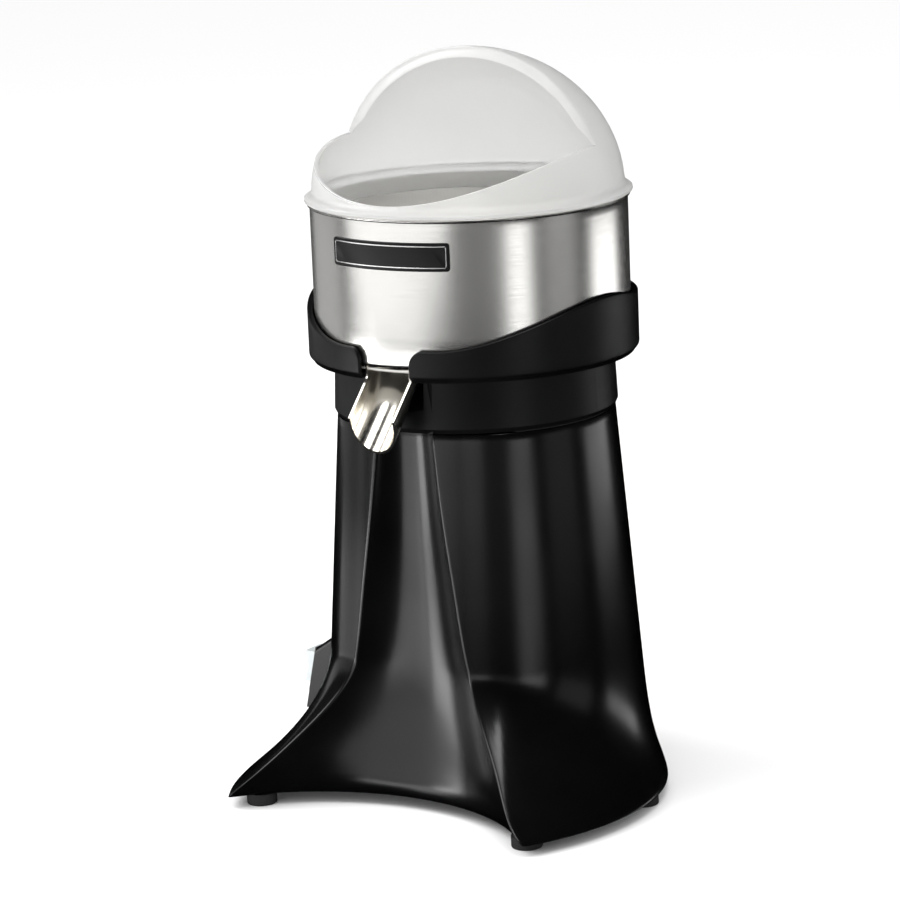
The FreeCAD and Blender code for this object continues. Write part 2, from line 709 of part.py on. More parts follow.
def stator_windings():
    low, high = STACK_Z
    ends = [tube(50.0, 36.0, high, high + WINDING_H), tube(50.0, 36.0, low - WINDING_H, low)]
    ends[0] = rounded(ends[0], 5.0, circle_edge(50.0, high + WINDING_H))
    ends[1] = rounded(ends[1], 5.0, circle_edge(50.0, low - WINDING_H))
    return group(ends)


def through_bolt_points():
    return [on_circle(BOLT_RING, a) for a in (45, 135, 225, 315)]


def end_bell(upper):
    """Cup that closes one end of the motor and holds a bearing."""
    way = 1 if upper else -1
    face = BELL_Z[1] if upper else BELL_Z[0]
    seat = STACK_Z[1] if upper else STACK_Z[0]

    def ring(outer, inner, a, b):
        return tube(outer, inner, min(a, b), max(a, b))

    body = joined([ring(MOTOR_R, 51.0, seat, face), ring(MOTOR_R, SHAFT_R + 1.5, face - way * 3, face),
                   ring(21.0, SHAFT_R + 1.5, face - way * 13, face)])
    cuts = [cyl(BEARING_R, min(face - way * 14, face - way * 3), max(face - way * 14, face - way * 3))]
    cuts += [cyl(BOLT_CLEAR_R, seat - 50, seat + 50, p.x, p.y) for p in through_bolt_points()]
    for i in range(8):
        low, high = sorted((seat + way * 8, seat + way * 26))
        vent = block(-5, 5, 45, 65, low, high)
        vent.rotate(ORIGIN, UP, i * 45.0 + 22.5)
        cuts.append(vent)
    return body.cut(group(cuts))


def bearing(upper):
    """Ball bearing drawn as one ring with shield grooves."""
    way = 1 if upper else -1
    inner_z = BELL_Z[1 if upper else 0] - way * 3
    low = min(inner_z, inner_z - way * BEARING_W)
    body = tube(BEARING_R, SHAFT_R + RUN_FIT, low, low + BEARING_W)
    high = low + BEARING_W
    grooves = [tube(13.5, 9.0, low - 1, low + 0.8), tube(13.5, 9.0, high - 0.8, high + 1)]
    return body.cut(group(grooves))


def through_bolts():
    return group([screw(p.x, p.y, BELL_Z[0], BRACKET_Z[0], *THROUGH_BOLT) for p in through_bolt_points()])


def motor_bracket():
    """Steel disc between the motor and its rubber isolators."""
    disc = tube(BRACKET_R, 24.0, *BRACKET_Z)
    spacers = [tube(5.5, BOLT_CLEAR_R, BELL_Z[1], BRACKET_Z[0], p.x, p.y) for p in through_bolt_points()]
    holes = [cyl(BOLT_CLEAR_R, 250, 262, p.x, p.y) for p in isolator_points()]
    return joined([disc] + spacers).cut(group(holes))


def motor_isolators():
    mounts = []
    for p in isolator_points():
        body = tube(9.0, BOLT_CLEAR_R, BRACKET_Z[1], DECK_Z[0], p.x, p.y)
        waist = Part.makeTorus(11.5, 4.5, Vector(p.x, p.y, (BRACKET_Z[1] + DECK_Z[0]) / 2), UP)
        mounts.append(body.cut(waist))
    return group(mounts)


def motor_screws():
    return group([screw(p.x, p.y, DECK_Z[1], BRACKET_Z[0], *MOTOR_SCREW) for p in isolator_points()])


def cooling_fan():
    """Fan under the motor: a hub, a disc and curved-back blades."""
    low, high = FAN_Z
    hub = tube(12.0, SHAFT_R, low, high)
    disc = tube(48.0, 11.0, high - 2, high)
    blades = []
    for i in range(FAN_BLADES):
        blade = block(-0.9, 0.9, 11.0, 47.0, low, high - 1)
        blade.rotate(Vector(0, 11, 0), UP, 18.0)
        blade.rotate(ORIGIN, UP, i * 360.0 / FAN_BLADES)
        blades.append(blade)
    return joined([hub, disc] + blades)


def slinger():
    return turned([(SHAFT_R, 295.0), (12.0, 295.0), (20.0, 296.2), (20.0, 297.6), (12.0, 297.2),
                   (SHAFT_R, 298.6)])


def shaft_seal():
    body = tube(SEAL_R, SHAFT_R + RUN_FIT, *DECK_Z)
    return body.cut(tube(11.5, 8.0, DECK_Z[1] - 2, DECK_Z[1] + 1))


# ---------------------------------------------------------------- electrics
def capacitor():
    can = cyl(CAN_R, 22.0, 78.0, *CAN_AT)
    can = rounded(can, 2.0, circle_edge(CAN_R, 78.0))
    tags = [block(x, x + 6, 43.6, 44.4, 78.0, 86.0) for x in (54.0, 64.0)]
    return joined([can] + tags)


def capacitor_clamp():
    band = tube(CAN_R + 1.5, CAN_R, 34.0, 46.0, *CAN_AT)
    leg = block(77.9, 79.6, 36.0, 52.0, PLATE_Z + PLATE_T, 46.0)
    toe = block(62.0, 79.6, 36.0, 52.0, PLATE_Z + PLATE_T, PLATE_Z + PLATE_T + 1.6)
    return joined([band, leg, toe]).cut(cyl(CAN_R, 16, 60, *CAN_AT))


def terminal_block():
    z = PLATE_Z + PLATE_T
    body = block(-84, -44, 34, 52, z, z + 14)
    wells = [cyl(3.0, z + 6, z + 15, -79.0 + 10 * i, 43.0) for i in range(4)]
    return body.cut(group(wells))


def tilted(shape):
    """Places a shape drawn upright at the origin on the switch box's sloping face."""
    moved = shape.copy()
    moved.rotate(ORIGIN, BACK, math.degrees(math.atan(SWITCH_LEAN)))
    moved.translate(Vector(SWITCH_X, 0, SWITCH_Z))
    return moved


def switch_box():
    """Box on the left flank, with a sloping outer face and a sloping roof."""
    outline = [(-90.0, SWITCH_LOW[1]), SWITCH_LOW, SWITCH_HIGH, SWITCH_ROOF, (-90.0, SWITCH_ROOF[1] + 2)]
    corners = [Vector(x, -SWITCH_HALF, z) for x, z in outline]
    body = Part.Face(Part.makePolygon(corners + corners[:1])).extrude(Vector(0, 2 * SWITCH_HALF, 0))
    body = body.makeFillet(3.0, [e for e in body.Edges if e.BoundBox.XMax < -108 and e.BoundBox.ZMin > 34.5])
    recess = tilted(block(-1, 30, -11.2, 11.2, -14.2, 14.2))
    pocket = tilted(block(2, 30, -13, 13, -18, 18))
    return body.cut(column_solid(-GAP)).cut(recess).cut(pocket)


def rocker_housing():
    """Switch body with a bezel, open towards the outside."""
    bezel = block(-1.8, 0, -13.5, 13.5, -16.5, 16.5)
    body = block(-1.8, 14.0, -11.0, 11.0, -14.0, 14.0)
    well = block(-3.0, 8.0, -ROCKER_HALF - 0.4, ROCKER_HALF + 0.4, -12.0, 12.0)
    tags = [block(14.0, 20.0, -0.4, 0.4, z, z + 5) for z in (-9.0, 4.0)]
    return tilted(joined([bezel, body] + tags).cut(well))


def rocker_button():
    """Pale rocker, wedge-shaped about its pivot."""
    outline = [(3.0, -7.0), (-3.5, -11.4), (-ROCKER_PROUD, -11.4), (-ROCKER_PROUD + 2.5, 0.0),
               (-ROCKER_PROUD, 11.4), (-3.5, 11.4), (3.0, 7.0)]
    corners = [Vector(x, -ROCKER_HALF, z) for x, z in outline]
    body = Part.Face(Part.makePolygon(corners + corners[:1])).extrude(Vector(0, 2 * ROCKER_HALF, 0))
    body = body.cut(Part.makeCylinder(PIN_R, 30, Vector(0, -15, 0), BACK))
    body.rotate(ORIGIN, BACK, -ROCKER_TILT)
    return tilted(body)


def rocker_pin():
    half = ROCKER_HALF + 0.4
    return tilted(Part.makeCylinder(PIN_R - RUN_FIT, 2 * half, Vector(0, -half, 0), BACK))


def cord_gland():
    """Gland at the back, low down, with a clear bore for a cord."""
    body = Part.makeCylinder(GLAND_BODY_R, 20, Vector(0, REAR_Y - 10, GLAND_Z), BACK)
    nut = Part.makeCylinder(GLAND_NUT_R, GLAND_REACH + 5, Vector(0, REAR_Y - 5, GLAND_Z), BACK)
    far_end = [e for e in nut.Edges if isinstance(e.Curve, Part.Circle) and e.BoundBox.YMin > REAR_Y + 5]
    nut = nut.makeFillet(2.0, far_end)
    bore = Part.makeCylinder(GLAND_BORE_R, 60, Vector(0, REAR_Y - 20, GLAND_Z), BACK)
    return joined([body, nut.cut(column_solid())]).cut(bore)


PARTS = {
    "base_housing": base_housing,
    "base_plate": base_plate,
    "rubber_feet": rubber_feet,
    "foot_screws": foot_screws,
    "plate_screws": plate_screws,
    "neck_ring": neck_ring,
    "neck_gasket": neck_gasket,
    "neck_screws": neck_screws,
    "bowl_collar": bowl_collar,
    "collar_screws": collar_screws,
    "bowl_pads": bowl_pads,
    "juice_bowl": juice_bowl,
    "spindle_bushing": spindle_bushing,
    "strainer_rests": strainer_rests,
    "pour_spout": spout,
    "badge_plate": badge_plate,
    "badge_frame": badge_frame,
    "strainer": strainer,
    "drive_spindle": drive_spindle,
    "reamer": reamer,
    "splash_dome": splash_dome,
    "drive_shaft": drive_shaft,
    "rotor_core": rotor_core,
    "cooling_fan": cooling_fan,
    "slinger": slinger,
    "shaft_seal": shaft_seal,
    "stator_core": stator_core,
    "stator_windings": stator_windings,
    "upper_end_bell": lambda: end_bell(True),
    "lower_end_bell": lambda: end_bell(False),
    "upper_bearing": lambda: bearing(True),
    "lower_bearing": lambda: bearing(False),
    "through_bolts": through_bolts,
    "motor_bracket": motor_bracket,
    "motor_isolators": motor_isolators,
    "motor_screws": motor_screws,
    "capacitor": capacitor,
    "capacitor_clamp": capacitor_clamp,
    "terminal_block": terminal_block,
    "switch_box": switch_box,
    "rocker_housing": rocker_housing,
    "rocker_pin": rocker_pin,
    "rocker_button": rocker_button,
    "cord_gland": cord_gland,
}

os.makedirs(OUT, exist_ok=True)
for name, make in PARTS.items():
    write(name, make())
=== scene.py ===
"""Looks of the citrus press juicer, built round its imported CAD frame.

Shapes are written in millimetres about the drive axis, with the spout side towards -Y, and move into the
frame's metres in place().
"""

import bmesh
import bpy
import math
import numpy as np
from mathutils import Matrix, Vector


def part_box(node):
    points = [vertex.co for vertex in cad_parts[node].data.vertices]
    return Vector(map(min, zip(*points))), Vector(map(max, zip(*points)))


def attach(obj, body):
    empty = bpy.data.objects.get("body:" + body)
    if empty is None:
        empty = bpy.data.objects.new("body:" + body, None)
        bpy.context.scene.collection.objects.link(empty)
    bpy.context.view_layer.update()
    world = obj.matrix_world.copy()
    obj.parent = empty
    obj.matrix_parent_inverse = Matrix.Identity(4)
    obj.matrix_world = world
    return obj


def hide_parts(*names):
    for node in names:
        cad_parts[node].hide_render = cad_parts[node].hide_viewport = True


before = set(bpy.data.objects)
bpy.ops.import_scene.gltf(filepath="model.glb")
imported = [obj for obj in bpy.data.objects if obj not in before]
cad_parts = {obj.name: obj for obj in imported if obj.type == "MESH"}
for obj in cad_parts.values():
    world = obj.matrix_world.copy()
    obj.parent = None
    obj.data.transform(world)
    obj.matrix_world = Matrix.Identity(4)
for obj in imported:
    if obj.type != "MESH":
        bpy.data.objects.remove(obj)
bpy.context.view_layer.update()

MM = 0.001
core_low, core_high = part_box("rotor_core")
AXIS_Y = (core_low.y + core_high.y) / 2

SKIRT_Z = 8.0
COLUMN_TOP_Z = 262.5
COLLAR_Z = 300.5
BOWL_Z = 305.0
RIM_Z = 408.0
DOME_Z = 411.0
DOME_RISE = 97.0
WALL = 4.5

COLUMN_TOP_R = 95.0
COLUMN_LOW_R = 107.1
COLUMN_LOW_Z = 100.0
LEG_FLARE = 82.0
LEG_FADE = 1.4
REAR_FLARE = 1.0
LEG_ANGLE = 36.0
FLARE_END_ANGLE = 137.0
LEG_POWER = 1.58
REAR_POWER = 4.5
FRONT_FLAT = 3.2
FLAT_ANGLES = (25.0, 42.0)
SECTIONS = (
    (8.0, 37.6, -96.5),
    (28.0, 35.4, -92.0),
    (45.0, 34.0, -88.0),
    (70.0, 30.4, -83.0),
    (100.0, 26.0, -79.5),
    (150.0, 21.6, -77.5),
    (205.0, 17.2, -78.0),
    (262.5, 13.6, -79.0),
)
COLLAR_R = 112.5
COLLAR_WALL = 3.9
BOWL_R = 107.6
DOME_R = 106.0
DOME_WALL = 2.6
ARCH_Y = 4.0
LIP_FRONT_Z = 416.0
LIP_SIDE_Z = 446.0


# ---------------------------------------------------------------- mesh helpers
def place(point):
    x, y, z = point
    return (x * MM, y * MM + AXIS_Y, z * MM)


def on_circle(radius, degrees, z=0.0):
    a = math.radians(degrees)
    return (radius * math.sin(a), -radius * math.cos(a), z)


def smooth_step(t):
    t = min(max(t, 0.0), 1.0)
    return t * t * (3 - 2 * t)


def grid_faces(rows, columns, wrap_rows=False, wrap_columns=False):
    faces = []
    for i in range(rows if wrap_rows else rows - 1):
        for j in range(columns if wrap_columns else columns - 1):
            k, m = (i + 1) % rows, (j + 1) % columns
            faces.append((i * columns + j, i * columns + m, k * columns + m, k * columns + j))
    return faces


def piece(name, points, faces, slot, body, stands_for=(), sharp=40.0):
    """A closed mesh with its normals outwards, riding on a body."""
    mesh = bpy.data.meshes.new(name)
    mesh.from_pydata([place(p) for p in points], [], faces)
    work = bmesh.new()
    work.from_mesh(mesh)
    bmesh.ops.remove_doubles(work, verts=work.verts, dist=1e-6)
    bmesh.ops.recalc_face_normals(work, faces=work.faces)
    work.to_mesh(mesh)
    work.free()
    obj = bpy.data.objects.new(name, mesh)
    bpy.context.scene.collection.objects.link(obj)
    shade(obj, sharp)
    finish_piece(obj, slot, body, stands_for)
    return obj


def shade(obj, sharp):
    obj.data.shade_smooth()
    obj.data.set_sharp_from_angle(angle=math.radians(sharp))


def finish_piece(obj, slot, body, stands_for):
    obj.data.materials.clear()
    obj.data.materials.append(MATERIALS[slot])
    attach(obj, body)
    if stands_for:
        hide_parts(*stands_for)


def baked(obj, sharp):
    """Applies the object's modifiers."""
    graph = bpy.context.evaluated_depsgraph_get()
    mesh = bpy.data.meshes.new_from_object(obj.evaluated_get(graph))
    obj.modifiers.clear()
    obj.data = mesh
    shade(obj, sharp)


def turned(name, profile, slot, body, stands_for=(), steps=192, sharp=40.0):
    """Closed (radius, height) profile turned about the drive axis."""
    points = [on_circle(r, 360.0 * i / steps, z) for i in range(steps) for r, z in profile]
    faces = grid_faces(steps, len(profile), True, True)
    return piece(name, points, faces, slot, body, stands_for, sharp)


def arc(cx, cz, radius, start, end, steps):
    """Points of an arc in the profile plane."""
    out = []
    for i in range(steps + 1):
        a = math.radians(start + (end - start) * i / steps)
        out.append((cx + radius * math.cos(a), cz + radius * math.sin(a)))
    return out


# ---------------------------------------------------------------- materials
def nodes_of(name):
    material = bpy.data.materials.new(name)
    material.use_nodes = True
    tree = material.node_tree
    return material, tree, tree.nodes["Principled BSDF"]


def add(tree, kind, **values):
    node = tree.nodes.new(kind)
    for key, value in values.items():
        if key in node.inputs:
            node.inputs[key].default_value = value
        else:
            setattr(node, key, value)
    return node


def noise(tree, scale, detail=4.0, stretch=(1.0, 1.0, 1.0), roughness=0.5):
    """Noise in the object's own coordinates, in features per metre."""
    coordinates = add(tree, "ShaderNodeTexCoord")
    mapping = add(tree, "ShaderNodeMapping")
    mapping.inputs["Scale"].default_value = stretch
    tree.links.new(coordinates.outputs["Object"], mapping.inputs["Vector"])
    texture = add(tree, "ShaderNodeTexNoise", Scale=scale, Detail=detail, Roughness=roughness)
    tree.links.new(mapping.outputs["Vector"], texture.inputs["Vector"])
    return texture.outputs["Fac"]


def ramp(tree, source, stops):
    node = add(tree, "ShaderNodeValToRGB")
    while len(node.color_ramp.elements) < len(stops):
        node.color_ramp.elements.new(0.5)
    for element, (position, colour) in zip(node.color_ramp.elements, stops):
        element.position = position
        element.color = (*colour, 1.0)
    tree.links.new(source, node.inputs["Fac"])
    return node.outputs["Color"]


def spread(tree, source, low, high, start=0.3, end=0.7):
    node = add(tree, "ShaderNodeMapRange")
    node.inputs["From Min"].default_value = start
    node.inputs["From Max"].default_value = end
    node.inputs["To Min"].default_value = low
    node.inputs["To Max"].default_value = high
    tree.links.new(source, node.inputs["Value"])
    return node.outputs["Result"]


def bump(tree, shader, source, height, strength=1.0, under=None):
    """Bump of a height in metres."""
    node = add(tree, "ShaderNodeBump", Strength=strength, Distance=height)
    tree.links.new(source, node.inputs["Height"])
    if under is not None:
        tree.links.new(under, node.inputs["Normal"])
    tree.links.new(node.outputs["Normal"], shader.inputs["Normal"])
    return node.outputs["Normal"]


def moulded(name, colour, other, rough, grain, grain_height, specular=0.5, coat=0.0, coat_rough=0.2,
            subsurface=0.0, clear=0.0):
    """Plastic, paint or rubber: cloudy colour, uneven gloss, a fine grain and slow waviness."""
    material, tree, shader = nodes_of(name)
    cloud = noise(tree, 14.0, 3.0)
    fine = noise(tree, grain, 3.0, roughness=0.6)
    wave = noise(tree, 26.0, 1.0)
    tree.links.new(ramp(tree, cloud, ((0.35, colour), (0.7, other))), shader.inputs["Base Color"])
    tree.links.new(spread(tree, cloud, *rough), shader.inputs["Roughness"])
    slow = bump(tree, shader, wave, 0.0002, 0.25)
    bump(tree, shader, fine, grain_height, 0.6, slow)
    shader.inputs["Specular IOR Level"].default_value = specular
    shader.inputs["Coat Weight"].default_value = coat
    shader.inputs["Coat Roughness"].default_value = coat_rough
    shader.inputs["Transmission Weight"].default_value = clear
    if subsurface:
        shader.inputs["Subsurface Weight"].default_value = subsurface
        shader.inputs["Subsurface Radius"].default_value = (1.0, 0.95, 0.9)
        shader.inputs["Subsurface Scale"].default_value = 0.004
    return material


def metal(name, colour, other, rough, line, stretch, line_height, anisotropy=0.0):
    """Bare metal with directional lines, faint stains and uneven gloss."""
    material, tree, shader = nodes_of(name)
    cloud = noise(tree, 18.0, 3.0)
    lines = noise(tree, line, 3.0, stretch, 0.65)
    tree.links.new(ramp(tree, cloud, ((0.3, colour), (0.75, other))), shader.inputs["Base Color"])
    tree.links.new(spread(tree, lines, *rough), shader.inputs["Roughness"])
    bump(tree, shader, lines, line_height, 0.5)
    shader.inputs["Metallic"].default_value = 1.0
    if anisotropy:
        tangent = add(tree, "ShaderNodeTangent", direction_type="RADIAL", axis="Z")
        tree.links.new(tangent.outputs["Tangent"], shader.inputs["Tangent"])
        shader.inputs["Anisotropic"].default_value = anisotropy
    return material


SATIN_R = (0.1058, 0.1064)


def satin_inside(material):
    """Turns the metal satin, and no longer metallic, at less than SATIN_R metres from the drive axis."""
    tree = material.node_tree
    coordinates = add(tree, "ShaderNodeTexCoord")
    flat = add(tree, "ShaderNodeMapping")
    flat.inputs["Location"].default_value = (0.0, -AXIS_Y, 0.0)
    flat.inputs["Scale"].default_value = (1.0, 1.0, 0.0)
    tree.links.new(coordinates.outputs["Object"], flat.inputs["Vector"])
    length = add(tree, "ShaderNodeVectorMath", operation="LENGTH")
    tree.links.new(flat.outputs["Vector"], length.inputs[0])
    metallic = spread(tree, length.outputs["Value"], 0.0, 1.0, *SATIN_R)
    tree.links.new(metallic, tree.nodes["Principled BSDF"].inputs["Metallic"])


ROUND_LINES = (1.0, 1.0, 45.0)
EVEN = (1.0, 1.0, 1.0)
MATERIALS = {
    "black_paint": moulded(
        "black_paint", (0.0013, 0.0013, 0.0014), (0.0021, 0.0021, 0.0024), (0.19, 0.25), 900.0, 0.00003,
        specular=0.45),
    "charcoal_plastic": moulded(
        "charcoal_plastic", (0.0022, 0.0022, 0.0024), (0.0036, 0.0037, 0.0039), (0.36, 0.46), 1500.0, 0.00006,
        specular=0.3),
    "brushed_steel": metal(
        "brushed_steel", (0.74, 0.73, 0.71), (0.68, 0.67, 0.65), (0.18, 0.25), 60.0, ROUND_LINES, 0.000004,
        anisotropy=0.7),
    "polished_steel": metal(
        "polished_steel", (0.84, 0.81, 0.75), (0.78, 0.75, 0.69), (0.14, 0.22), 40.0, (1.0, 6.0, 6.0),
        0.000002),
    "frosted_plastic": moulded(
        "frosted_plastic", (0.90, 0.90, 0.895), (0.93, 0.93, 0.92), (0.36, 0.46), 700.0, 0.00002, clear=0.75),
    "white_nylon": moulded(
        "white_nylon", (0.78, 0.77, 0.73), (0.70, 0.69, 0.65), (0.32, 0.45), 600.0, 0.00004, subsurface=0.1),
    "badge_black": moulded(
        "badge_black", (0.003, 0.003, 0.003), (0.005, 0.005, 0.005), (0.3, 0.4), 1800.0, 0.00001,
        specular=0.25),
    "badge_silver": metal(
        "badge_silver", (0.72, 0.72, 0.71), (0.60, 0.60, 0.60), (0.22, 0.32), 90.0, (1, 1, 20), 0.000008),
    "black_rubber": moulded(
        "black_rubber", (0.012, 0.012, 0.012), (0.020, 0.020, 0.020), (0.72, 0.86), 1300.0, 0.00012,
        specular=0.3),
    "zinc_steel": metal(
        "zinc_steel", (0.62, 0.63, 0.64), (0.50, 0.51, 0.50), (0.30, 0.48), 240.0, EVEN, 0.00002),
    "shaft_steel": metal(
        "shaft_steel", (0.56, 0.56, 0.57), (0.46, 0.46, 0.47), (0.18, 0.30), 120.0, ROUND_LINES, 0.00001),
    "bearing_steel": metal(
        "bearing_steel", (0.60, 0.60, 0.61), (0.50, 0.50, 0.51), (0.16, 0.28), 150.0, ROUND_LINES, 0.00001),
    "lamination_steel": metal(
        "lamination_steel", (0.34, 0.34, 0.35), (0.24, 0.23, 0.23), (0.38, 0.55), 30.0, (0.2, 0.2, 60.0),
        0.00012),
    "copper_winding": metal(
        "copper_winding", (0.66, 0.28, 0.12), (0.44, 0.16, 0.07), (0.28, 0.42), 60.0, (6.0, 6.0, 0.4),
        0.0004),
    "cast_aluminium": metal(
        "cast_aluminium", (0.54, 0.55, 0.56), (0.44, 0.45, 0.46), (0.42, 0.60), 500.0, EVEN, 0.00012),
    "black_plastic": moulded(
        "black_plastic", (0.012, 0.012, 0.013), (0.018, 0.018, 0.019), (0.34, 0.46), 1200.0, 0.00004,
        specular=0.45),
    "pale_plastic": moulded(
        "pale_plastic", (0.62, 0.66, 0.67), (0.56, 0.60, 0.61), (0.26, 0.36), 900.0, 0.00002,
        coat=0.2, coat_rough=0.15, subsurface=0.1),
}
satin_inside(MATERIALS["brushed_steel"])
NODES = {
    "black_paint": ("base_housing", "switch_box"),
    "charcoal_plastic": ("bowl_collar", "neck_ring"),
    "brushed_steel": ("juice_bowl", "strainer", "strainer_rests"),
    "polished_steel": ("pour_spout",),
    "frosted_plastic": ("splash_dome",),
    "white_nylon": ("reamer", "spindle_bushing"),
    "badge_black": ("badge_plate",),
    "badge_silver": ("badge_frame",),
    "black_rubber": ("rubber_feet", "motor_isolators", "neck_gasket", "bowl_pads", "shaft_seal"),
    "zinc_steel": ("foot_screws", "plate_screws", "neck_screws", "collar_screws", "motor_screws",
                   "through_bolts", "motor_bracket", "base_plate", "capacitor_clamp", "rocker_pin"),
    "shaft_steel": ("drive_shaft", "drive_spindle", "slinger"),
    "bearing_steel": ("upper_bearing", "lower_bearing"),
    "lamination_steel": ("stator_core", "rotor_core"),
    "copper_winding": ("stator_windings",),
    "cast_aluminium": ("upper_end_bell", "lower_end_bell", "capacitor"),
    "black_plastic": ("cooling_fan", "terminal_block", "rocker_housing", "cord_gland"),
    "pale_plastic": ("rocker_button",),
}
for slot, names in NODES.items():
    for name in names:
        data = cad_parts[name].data
        data.materials.clear()
        data.materials.append(MATERIALS[slot])


# ---------------------------------------------------------------- cast column
def fade(value, full, none):
    return smooth_step((none - value) / (none - full))


def skin_radius(angle, z):
    cone = COLUMN_LOW_R + (COLUMN_TOP_R - COLUMN_LOW_R) * (z - COLUMN_LOW_Z) / (COLUMN_TOP_Z - COLUMN_LOW_Z)
    to_leg = min(max((FLARE_END_ANGLE - angle) / (FLARE_END_ANGLE - LEG_ANGLE), 0.0), 1.0)
    power = REAR_POWER + (LEG_POWER - REAR_POWER) * to_leg
    flare = max((COLUMN_LOW_Z - z) / (COLUMN_LOW_Z - SKIRT_Z), 0.0) ** power
    foot = REAR_FLARE + LEG_FLARE * to_leg ** LEG_FADE
    return cone + flare * foot - (1 - flare) * FRONT_FLAT * fade(angle, *FLAT_ANGLES)


def spline(xs, ys):
    """Cubic through the points, with free ends."""
    n = len(xs)
    h = np.diff(xs)
    a = np.zeros((n, n))
    b = np.zeros(n)
    a[0, 0] = a[-1, -1] = 1.0
    for i in range(1, n - 1):
        a[i, i - 1], a[i, i], a[i, i + 1] = h[i - 1], 2 * (h[i - 1] + h[i]), h[i]
        b[i] = 3 * ((ys[i + 1] - ys[i]) / h[i] - (ys[i] - ys[i - 1]) / h[i - 1])
    c = np.linalg.solve(a, b)

    def value(x):
        i = min(max(int(np.searchsorted(xs, x)) - 1, 0), n - 2)
        d = (c[i + 1] - c[i]) / (3 * h[i])
        slope = (ys[i + 1] - ys[i]) / h[i] - h[i] * (2 * c[i] + c[i + 1]) / 3
        t = x - xs[i]
        return ys[i] + t * (slope + t * (c[i] + t * d))
    return value


heights, ridge_angles, channel_ys = np.array(SECTIONS).T
ridge_at = spline(heights, ridge_angles)
channel_at = spline(heights, channel_ys)


def channel_circle(z):
    ridge_angle, middle_y = ridge_at(z), channel_at(z)
    x, y, _ = on_circle(skin_radius(ridge_angle, z), ridge_angle)
    depth = middle_y - y
    radius = (x ** 2 + depth ** 2) / (2 * depth)
    return middle_y - radius, radius


def ridge_inside(z, inset, centre_y, radius):
    """Angle at which the inset skin meets the inset channel."""
    low, high = ridge_at(z) - 4.0, 80.0
    for _ in range(40):
        middle = (low + high) / 2
        x, y, _ = on_circle(skin_radius(middle, z) - inset, middle)
        if math.hypot(x, y - centre_y) < radius + inset:
            low = middle
        else:
            high = middle
    return low


SKIN_STEPS = 56
CHANNEL_STEPS = 40
RIDGE_STEPS = 6
RIDGE_ROUND = 2.0


def column_loop(z, inset):
    """Half of one level outline: from the middle of the back to the middle of the channel."""
    centre_y, radius = channel_circle(z)
    ridge = ridge_inside(z, inset, centre_y, radius)

    def skin(angle):
        return Vector(on_circle(skin_radius(angle, z) - inset, angle))

    corner = skin(ridge)
    half_arc = math.asin(min(corner.x / (radius + inset), 1.0))
    skin_back = ridge + math.degrees(RIDGE_ROUND / corner.length)
    arc_back = half_arc - RIDGE_ROUND / (radius + inset)
    out = []
    for i in range(SKIN_STEPS + 1):
        t = i / SKIN_STEPS
        out.append(skin(180.0 + (skin_back - 180.0) * (1 - (1 - t) ** 1.35)))

    def channel(a):
        return Vector(((radius + inset) * math.sin(a), centre_y + (radius + inset) * math.cos(a), 0.0))

    start, end = skin(skin_back), channel(arc_back)
    for i in range(1, RIDGE_STEPS):
        t = i / RIDGE_STEPS
        out.append(start * (1 - t) ** 2 + corner * (2 * t * (1 - t)) + end * t ** 2)
    for i in range(CHANNEL_STEPS + 1):
        out.append(channel(arc_back * (1 - i / CHANNEL_STEPS)))
    return [(p.x, p.y, z) for p in out]


LIP_RISE = 13.0
LIP_IN = 4.6
LIP_ROWS = 8
OUTSIDE_ROWS = 69
TOP_ROUND = 0.8
PLATE_INSET = 5.8


def build_housing():
    """Levels as (height, inset): the turned-under lip, the outside, the top's edge, then the inside."""
    levels = []
    for i in range(LIP_ROWS + 1):
        a = math.radians(90.0 * i / LIP_ROWS)
        levels.append((SKIRT_Z + LIP_RISE * (1 - math.cos(a)), LIP_IN * (1 - math.sin(a))))
    z = SKIRT_Z + LIP_RISE
    for i in range(1, OUTSIDE_ROWS + 1):
        t = i / OUTSIDE_ROWS
        levels.append((z + (COLUMN_TOP_Z - TOP_ROUND - z) * (0.55 * t + 0.45 * t * t), 0.0))
    levels += [(COLUMN_TOP_Z - 0.25, 0.25), (COLUMN_TOP_Z, TOP_ROUND), (COLUMN_TOP_Z, WALL)]
    levels += [(height, WALL) for height in (230.0, 190.0, 150.0, 110.0, 80.0, 60.0, 45.0)]
    levels += [(30.0, 5.2), (18.0, PLATE_INSET), (SKIRT_Z + 1.0, PLATE_INSET + 0.1), (SKIRT_Z, PLATE_INSET)]
    points = []
    for z, inset in levels:
        half = column_loop(z, inset)
        points += half + [(-x, y, z) for x, y, z in reversed(half[1:-1])]
    columns = len(points) // len(levels)
    faces = grid_faces(len(levels), columns, True, True)
    piece("cast_column", points, faces, "black_paint", "base", ("base_housing",), 50.0)


build_housing()


# ---------------------------------------------------------------- collar
COLLAR_FRONT_Z = 321.5
COLLAR_SIDE_Z = 347.0
COLLAR_RISE_ANGLES = (18.0, 86.0)
COLLAR_REAR_DROP = 6.5
COLLAR_DROP_ANGLES = (88.0, 118.0)
NOTCH_HALF = 19.6
NOTCH_SHOULDER_Z = 311.5
SHOULDER = 11.0
COLLAR_HOLE_R = 62.0
COLLAR_FLOOR = 3.0
COLLAR_ROUND = 2.8
EDGE_ROUND_OUT = 1.1
EDGE_ROUND_IN = 0.8


def collar_height(degrees):
    angle = abs(degrees)
    rise = fade(angle, *reversed(COLLAR_RISE_ANGLES))
    drop = fade(angle, *reversed(COLLAR_DROP_ANGLES))
    return COLLAR_FRONT_Z + (COLLAR_SIDE_Z - COLLAR_FRONT_Z) * rise - COLLAR_REAR_DROP * drop


